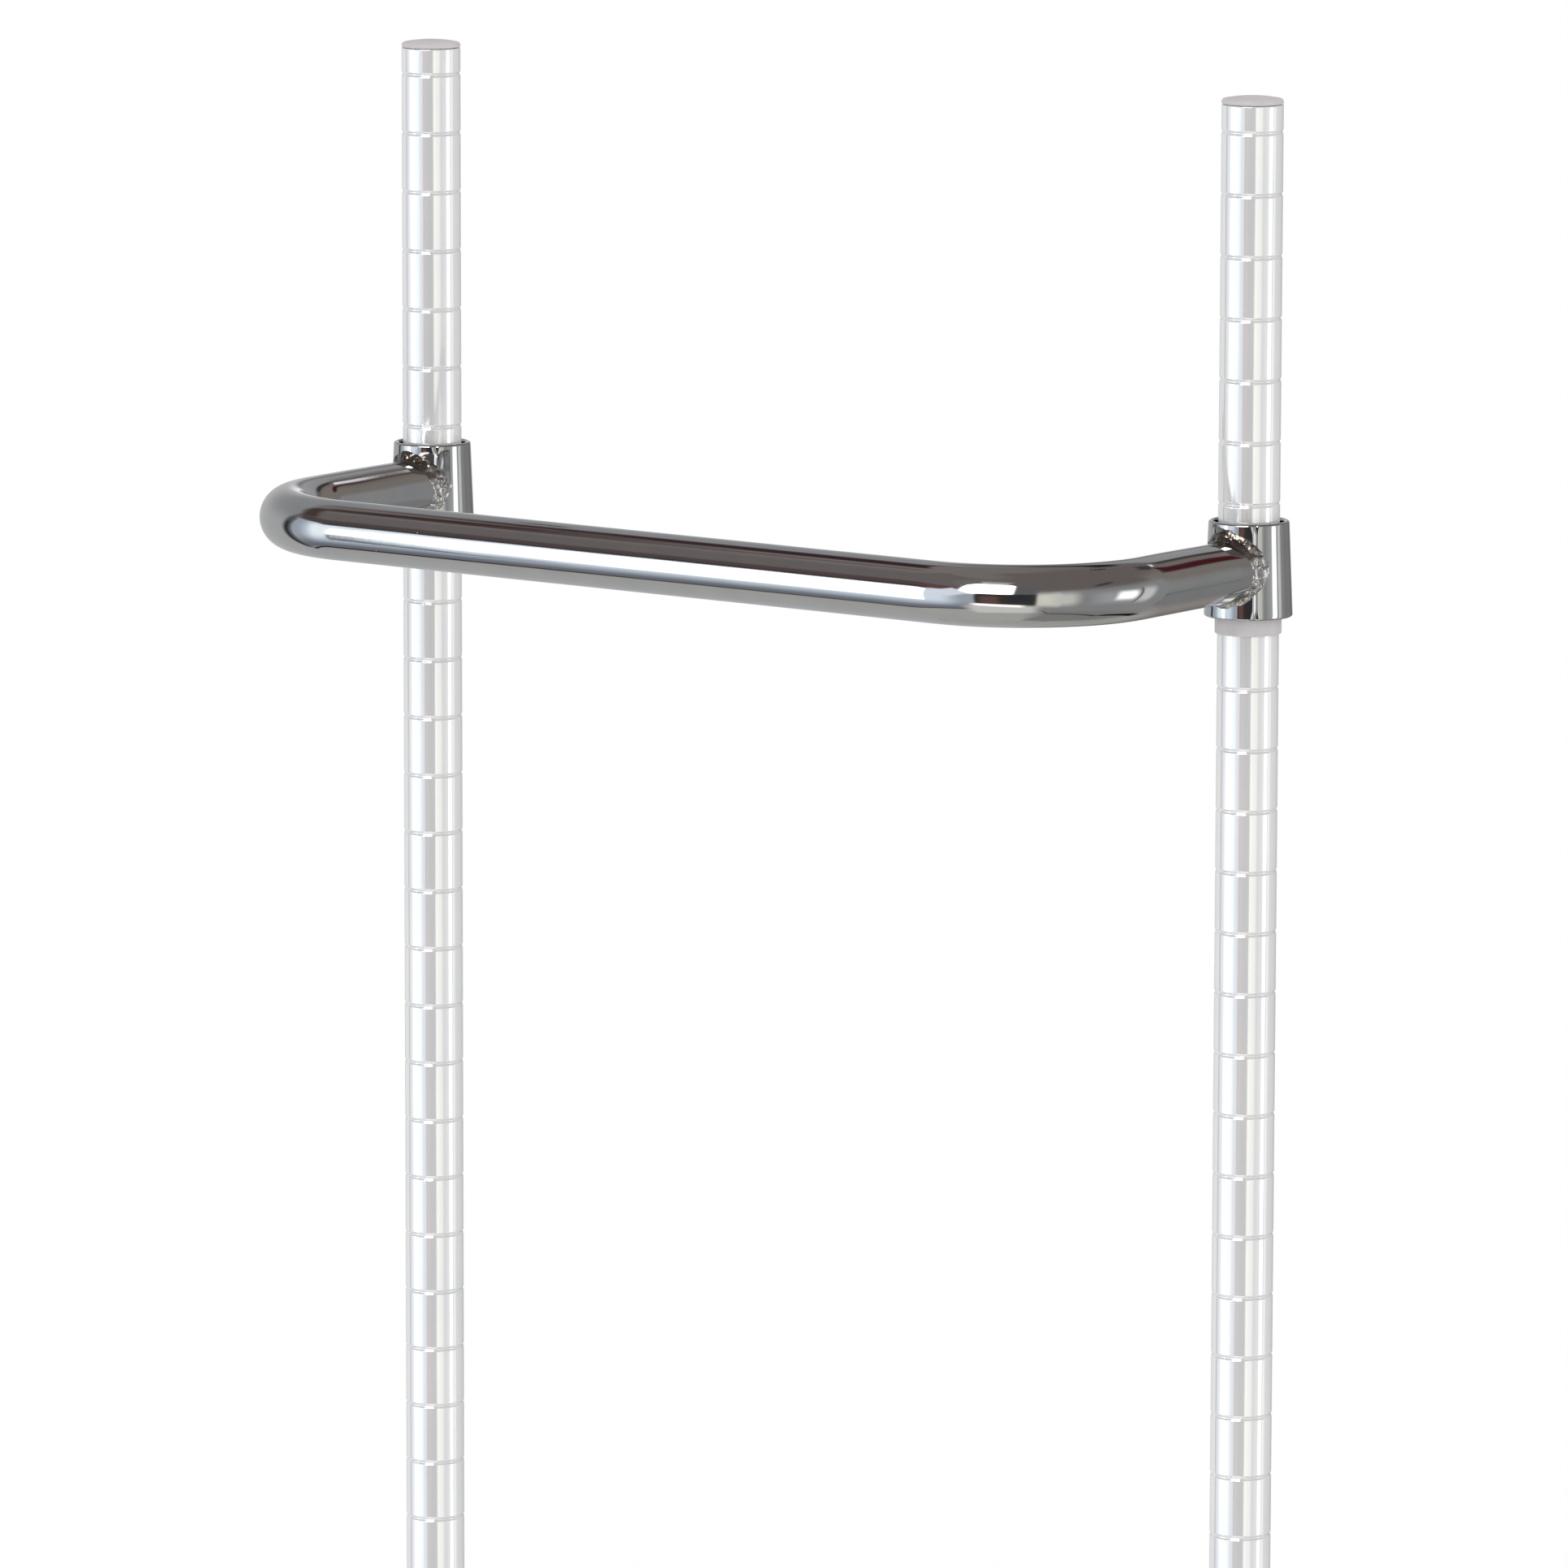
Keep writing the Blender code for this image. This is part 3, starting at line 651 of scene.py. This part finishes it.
def make_weld(side, material):
    """A fillet weld all round the tube's end: lumpy, with wandering toes, and heaviest on top."""
    seed = Vector((3.0, 0, 0)) if side == "left" else Vector((0, 7.0, 0))
    centre = middle(f"{side}_collar")
    rings = []
    for i in range(WELD_RINGS):
        angle = 2 * math.pi * i / WELD_RINGS
        root = on_tube(side, angle, 0.0)
        heavy = 1 + WELD_TOP_SHARE * math.cos(angle)
        slow = noise.noise(root / WELD_SWELL_SPACING + seed)
        quick = noise.noise(root / WELD_TOE_SPACING + seed) * WELD_TOE_QUICK_SHARE
        leg_on_tube = WELD_LEG_ON_TUBE * heavy + WELD_TOE_SWAY * (slow + quick)
        leg_on_collar = WELD_LEG_ON_COLLAR * heavy - WELD_TOE_SWAY * (slow - quick)
        leg_on_collar = min(max(leg_on_collar, WELD_LEAST_LEG), WELD_MOST_ON_COLLAR)
        toe_on_tube = on_tube(side, angle, max(leg_on_tube, WELD_LEAST_LEG))
        toe_on_collar = on_collar(side, angle, leg_on_collar)
        between = (toe_on_tube + toe_on_collar) / 2
        corner = root.lerp(between, WELD_CORNER_SHARE)
        outwards = (between - root).normalized()
        ring = []
        for k in range(WELD_SECTION):
            t = k / (WELD_SECTION - 1)
            point = toe_on_tube * (1 - t) ** 2 + corner * 2 * t * (1 - t) + toe_on_collar * t * t
            crown = math.sin(math.pi * t) ** 0.6
            ring.append(point + outwards * crown * (WELD_CROWN + lumps(point + seed * MM * 40)))
        tube_axis = Vector((centre.x, root.y, HANDLE_HEIGHT))
        ring.append(root.lerp(tube_axis, WELD_ROOT_SHARE))
        rings.append(ring)
    weld = ring_mesh(f"{side}_weld_fine", rings, True, 60)
    dress(weld, "handle", material, "weld_chrome", f"{side}_weld")


# ---- Sleeves ----------------------------------------------------------------------------------
def sleeve_radius(height):
    """The sleeve's outer radius: inside the collar's tapered bore, and straight below it."""
    low = HANDLE_HEIGHT - COLLAR_HALF
    share = max(height - low, 0.0) / (2 * COLLAR_HALF)
    top_radius = COLLAR_TOP_RADIUS - COLLAR_TOP_WALL - GAP
    return SLEEVE_BOTTOM_RADIUS + (top_radius - SLEEVE_BOTTOM_RADIUS) * share


def make_sleeve_half(side, half, material):
    """Half of a moulded sleeve, with softened edges and an inner rib in the post's groove."""
    bore = POST_RADIUS + GAP
    edge = SLEEVE_EDGE
    low = HANDLE_HEIGHT - COLLAR_HALF
    rib = GROOVE_HALF_WIDTH / 2
    profile = arc(sleeve_radius(SLEEVE_TOP) - edge, SLEEVE_TOP - edge, edge, 90, 0, 4)
    profile.append((sleeve_radius(low), low))
    profile += arc(SLEEVE_BOTTOM_RADIUS - edge, SLEEVE_BOTTOM + edge, edge, 0, -90, 4)
    profile += [(bore + edge / 2, SLEEVE_BOTTOM), (bore, SLEEVE_BOTTOM + edge / 2)]
    groove = HANDLE_HEIGHT + HANDLE_DROP
    profile += [(bore, groove - rib), (bore - rib, groove), (bore, groove + rib)]
    profile += [(bore, SLEEVE_TOP)]
    name = f"{side}_sleeve_{half}"
    post = middle(f"{side}_post")
    mean_radius = (bore + SLEEVE_BOTTOM_RADIUS) / 2
    first = -math.pi / 2 + math.asin(SPLIT_GAP / 2 / mean_radius)
    facing = SLEEVE_TURN if half == "front" else SLEEVE_TURN + math.pi
    steps = ROUND_SIDES // 2
    rings = []
    for i in range(steps + 1):
        angle = facing + first * (1 - 2 * i / steps)
        rings.append([around(post, angle, radius, height) for radius, height in profile])
    piece = ring_mesh(f"{name}_fine", rings, False)
    dress(piece, "post_frame", material, "sleeve_plastic", name)


# ---- Levelling feet ---------------------------------------------------------------------------
def make_insert(side, material):
    """The threaded bush in the post's end, with a rounded flange."""
    outer = POST_RADIUS - POST_WALL - GAP
    flange_top = POST_BOTTOM - GAP
    edge = INSERT_EDGE
    bore = STEM_RADIUS + GAP / 2
    profile = [(outer - edge, INSERT_TOP), (outer, INSERT_TOP - edge), (outer, flange_top)]
    profile += arc(POST_RADIUS - edge, flange_top - edge, edge, 90, 0, 4)
    profile += arc(POST_RADIUS - edge, INSERT_BOTTOM + edge, edge, 0, -90, 4)
    profile += [(bore + 2 * edge, INSERT_BOTTOM), (bore, INSERT_BOTTOM + 2 * edge), (bore, INSERT_TOP)]
    name = f"{side}_foot_insert"
    insert = turned(f"{name}_fine", middle(name), profile, True)
    dress(insert, "post_frame", material, "foot_steel", name)


def hexagon_radius(angle):
    """The distance to a hexagon's side at an angle."""
    sixth = math.pi / 3
    return HEX_ACROSS_FLATS / 2 / math.cos((angle + sixth / 2) % sixth - sixth / 2)


def make_stem(side, material):
    """The screw: a helical thread, a chamfered hexagon, a neck and the stud head in the pad."""
    stud_bottom = PAD_FLOOR + GAP
    stud_top = stud_bottom + STUD_HEAD_HEIGHT
    hex_bottom = PAD_TOP + GAP
    hex_top = hex_bottom + HEX_HEIGHT
    corner = HEX_ACROSS_FLATS / 2 / math.cos(math.pi / 6)
    face = corner - HEX_CHAMFER
    drop = HEX_CHAMFER * math.tan(math.radians(30))
    thread_top = STEM_TOP - STEM_POINT

    def with_thread(angle, radius, height):
        if radius > STEM_RADIUS + GAP and height > stud_top:
            return min(radius, hexagon_radius(angle))
        if height <= hex_top:
            return radius
        turn = (height / THREAD_PITCH - angle / (2 * math.pi)) % 1
        flank = min(max(abs(2 * turn - 1) * 1.3 - 0.15, 0), 1)  # flat at the crest and the root
        fade = smooth((height - hex_top) / THREAD_PITCH) * smooth((STEM_TOP - height) / THREAD_PITCH + 0.3)
        return radius - THREAD_DEPTH * flank * fade

    profile = [(CORE_RADIUS, STEM_TOP), (STEM_RADIUS - STEM_POINT, STEM_TOP), (STEM_RADIUS, thread_top)]
    rows = round((thread_top - hex_top) / THREAD_PITCH * THREAD_STEPS)
    for i in range(1, rows + 1):
        profile.append((STEM_RADIUS, thread_top - (thread_top - hex_top) * i / rows))
    profile += [(face, hex_top), (corner, hex_top - drop), (corner, hex_bottom + drop)]
    profile += [(face, hex_bottom), (NECK_RADIUS, hex_bottom), (NECK_RADIUS, stud_top)]
    profile += [(STUD_HEAD_RADIUS, stud_top), (STUD_HEAD_RADIUS, stud_bottom), (CORE_RADIUS, stud_bottom)]
    name = f"{side}_foot_stem"
    stem = turned(f"{name}_fine", middle(name), profile, False, None, with_thread)
    dress(stem, f"{name}_body", material, "foot_steel", name)


def make_pad(side, material):
    """A moulded glide: a rounded top, a shallow step, and a chamfered sole."""
    cavity = STUD_HEAD_RADIUS + GAP
    cavity_top = PAD_FLOOR + STUD_HEAD_HEIGHT + 2 * GAP
    mouth = NECK_RADIUS + GAP
    step = PAD_RADIUS * PAD_STEP_SHARE
    sole_edge = PAD_SOLE_EDGE
    profile = [(CORE_RADIUS, PAD_FLOOR), (cavity, PAD_FLOOR), (cavity, cavity_top), (mouth, cavity_top)]
    profile += [(mouth, PAD_TOP - 0.2 * MM), (mouth + 0.2 * MM, PAD_TOP), (step, PAD_TOP)]
    profile += [(step + 0.3 * MM, PAD_TOP - 0.35 * MM)]
    profile += arc(PAD_RADIUS - PAD_EDGE, PAD_TOP - 0.5 * MM - PAD_EDGE, PAD_EDGE, 85, 0)
    profile += arc(PAD_RADIUS - sole_edge, sole_edge, sole_edge, 0, -80, 4)
    profile += [(PAD_RADIUS - 2 * sole_edge, 0.0), (CORE_RADIUS, 0.0)]
    name = f"{side}_foot_pad"
    pad = turned(f"{name}_fine", middle(name), profile, False)
    dress(pad, f"{name}_body", material, "pad_plastic", name)


# ---- Materials --------------------------------------------------------------------------------
def new_material(name):
    material = bpy.data.materials.new(name)
    material.use_nodes = True
    nodes = Nodes(material.node_tree)
    place = nodes.add("ShaderNodeTexCoord").outputs["Object"]
    return material, nodes, material.node_tree.nodes["Principled BSDF"], place


def cloudiness(nodes, place, scale, detail=3.0, stretch=(1, 1, 1)):
    """A noise value, finer along the axes with a larger stretch."""
    mapped = nodes.add("ShaderNodeMapping", inputs={"Vector": place, "Scale": stretch}).outputs[0]
    texture = nodes.add(
        "ShaderNodeTexNoise", inputs={"Vector": mapped, "Scale": scale, "Detail": detail}
    )
    return texture.outputs["Fac"]


def ranged(nodes, value, low, high, to_low, to_high):
    """A value carried from one range to another, and held at its ends."""
    inputs = {"Value": value, "From Min": low, "From Max": high, "To Min": to_low, "To Max": to_high}
    return nodes.add("ShaderNodeMapRange", inputs=inputs).outputs[0]


def tinted(nodes, value, low, high, first, second):
    """The first colour where the value is low, the second where it is high, and a blend between."""
    return nodes.mix(ranged(nodes, value, low, high, 0, 1), (*first, 1), (*second, 1))


def bump(nodes, height, distance, normal=None):
    """The height as a normal, on top of another one if there is one."""
    inputs = {"Height": height, "Distance": distance, "Strength": 1.0}
    if normal:
        inputs["Normal"] = normal
    return nodes.add("ShaderNodeBump", inputs=inputs).outputs[0]


def pits(nodes, place, scale, size):
    """1 on scattered specks and 0 elsewhere."""
    cells = nodes.add("ShaderNodeTexVoronoi", inputs={"Vector": place, "Scale": scale})
    return ranged(nodes, cells.outputs["Distance"], size * 0.6, size, 1.0, 0.0)


def handle_chrome():
    """Bright plate on drawn tube: near-mirror, with faint haze, ripples and a few specks."""
    material, nodes, shader, place = new_material("handle_chrome_plate")
    shader.inputs["Metallic"].default_value = 1.0
    haze = ranged(nodes, cloudiness(nodes, place, 35, 5), 0.35, 0.7, 0.035, 0.075)
    specks = pits(nodes, place, 75, 0.018)
    rough = nodes.math("ADD", haze, nodes.math("MULTIPLY", specks, 0.3))
    nodes.set(shader.inputs["Roughness"], rough)
    stained = cloudiness(nodes, place, 60, 4)
    tone = tinted(nodes, stained, 0.3, 0.7, (0.545, 0.555, 0.565), (0.58, 0.585, 0.59))
    nodes.set(shader.inputs["Base Color"], tone)
    ripple = bump(nodes, cloudiness(nodes, place, 90, 2), 0.000006)
    nodes.set(shader.inputs["Normal"], bump(nodes, specks, -0.00004, ripple))
    return material


def weld_chrome():
    """The same plate over a rough weld: pitted and hazy, with a painted reflection of the dark ceiling,
    brown towards the top.
    """
    material, nodes, shader, place = new_material("weld_chrome_plate")
    shader.inputs["Metallic"].default_value = 1.0
    coarse = cloudiness(nodes, place, 300, 4)
    nodes.set(shader.inputs["Roughness"], ranged(nodes, coarse, 0.3, 0.7, 0.10, 0.26))
    plate = tinted(nodes, coarse, 0.35, 0.65, (0.40, 0.38, 0.36), (0.57, 0.57, 0.56))
    height = nodes.add("ShaderNodeSeparateXYZ", inputs={0: place}).outputs[2]
    sway = nodes.math("MULTIPLY", cloudiness(nodes, place, 250, 3), WELD_PAINTED_REFLECTION_SWAY)
    wavering = nodes.math("ADD", height, sway)
    low = HANDLE_HEIGHT + WELD_PAINTED_REFLECTION_FROM
    painted_reflection = ranged(nodes, wavering, low, HANDLE_HEIGHT + WELD_PAINTED_REFLECTION_TO, 0, 1)
    # Painted reflection: towards the top, the colour darkens to the dark ceiling's brown.
    nodes.set(shader.inputs["Base Color"], nodes.mix(painted_reflection, plate, (0.20, 0.175, 0.155, 1)))
    grain = bump(nodes, coarse, 0.00006)
    nodes.set(shader.inputs["Normal"], bump(nodes, pits(nodes, place, 380, 0.16), -0.0001, grain))
    return material


def post_chrome():
    """Pale satin-bright plate on the posts, with fine lines along the tube."""
    material, nodes, shader, place = new_material("post_chrome_plate")
    shader.inputs["Metallic"].default_value = 0.4
    lines = cloudiness(nodes, place, 700, 4, (1, 1, 0.02))
    nodes.set(shader.inputs["Roughness"], ranged(nodes, lines, 0.3, 0.7, 0.06, 0.13))
    cloud = cloudiness(nodes, place, 25, 3)
    tone = tinted(nodes, cloud, 0.3, 0.7, (0.93, 0.94, 0.95), (0.97, 0.97, 0.97))
    nodes.set(shader.inputs["Base Color"], tone)
    nodes.set(shader.inputs["Normal"], bump(nodes, lines, 0.000008))
    return material


def moulded_plastic(name, low, high, grain_scale):
    """Matt moulded plastic: fine eroded grain, soft clouding and faint scuffs."""
    material, nodes, shader, place = new_material(name)
    cloud = cloudiness(nodes, place, 120, 4)
    nodes.set(shader.inputs["Base Color"], tinted(nodes, cloud, 0.3, 0.7, low, high))
    grain = cloudiness(nodes, place, grain_scale, 3)
    scuffs = cloudiness(nodes, place, 260, 5, (1, 1, 0.15))
    nodes.set(shader.inputs["Roughness"], ranged(nodes, scuffs, 0.3, 0.7, 0.42, 0.60))
    nodes.set(shader.inputs["Normal"], bump(nodes, grain, 0.00004))
    return material


def foot_steel():
    """Zinc-plated steel: satin, brushed round, with clouds of a warmer and a cooler grey."""
    material, nodes, shader, place = new_material("foot_zinc_plate")
    shader.inputs["Metallic"].default_value = 1.0
    cloud = cloudiness(nodes, place, 220, 4)
    tone = tinted(nodes, cloud, 0.35, 0.65, (0.60, 0.60, 0.63), (0.72, 0.70, 0.66))
    nodes.set(shader.inputs["Base Color"], tone)
    brushed = cloudiness(nodes, place, 900, 3, (0.1, 0.1, 1))
    nodes.set(shader.inputs["Roughness"], ranged(nodes, brushed, 0.3, 0.7, 0.22, 0.38))
    nodes.set(shader.inputs["Normal"], bump(nodes, brushed, 0.00003))
    return material


# ---- Assembly ---------------------------------------------------------------------------------
def make_object():
    chrome = handle_chrome()
    weld_plate = weld_chrome()
    post_plate = post_chrome()
    steel = foot_steel()
    cap = moulded_plastic("cap_moulded", (0.56, 0.53, 0.545), (0.62, 0.59, 0.60), 2500)
    sleeve = moulded_plastic("sleeve_moulded", (0.53, 0.51, 0.52), (0.60, 0.58, 0.59), 2200)
    pad = moulded_plastic("pad_moulded", (0.53, 0.51, 0.52), (0.60, 0.58, 0.59), 1800)
    make_handle_tube(chrome)
    for side in SIDES:
        make_post(side, post_plate)
        make_cap(side, cap)
        make_sleeve_half(side, "front", sleeve)
        make_sleeve_half(side, "rear", sleeve)
        make_collar(side, chrome)
        make_weld(side, weld_plate)
        make_insert(side, steel)
        make_stem(side, steel)
        make_pad(side, pad)


make_camera()
make_world()
make_floor()
make_object()
bpy.context.scene.view_settings.view_transform = "Standard"
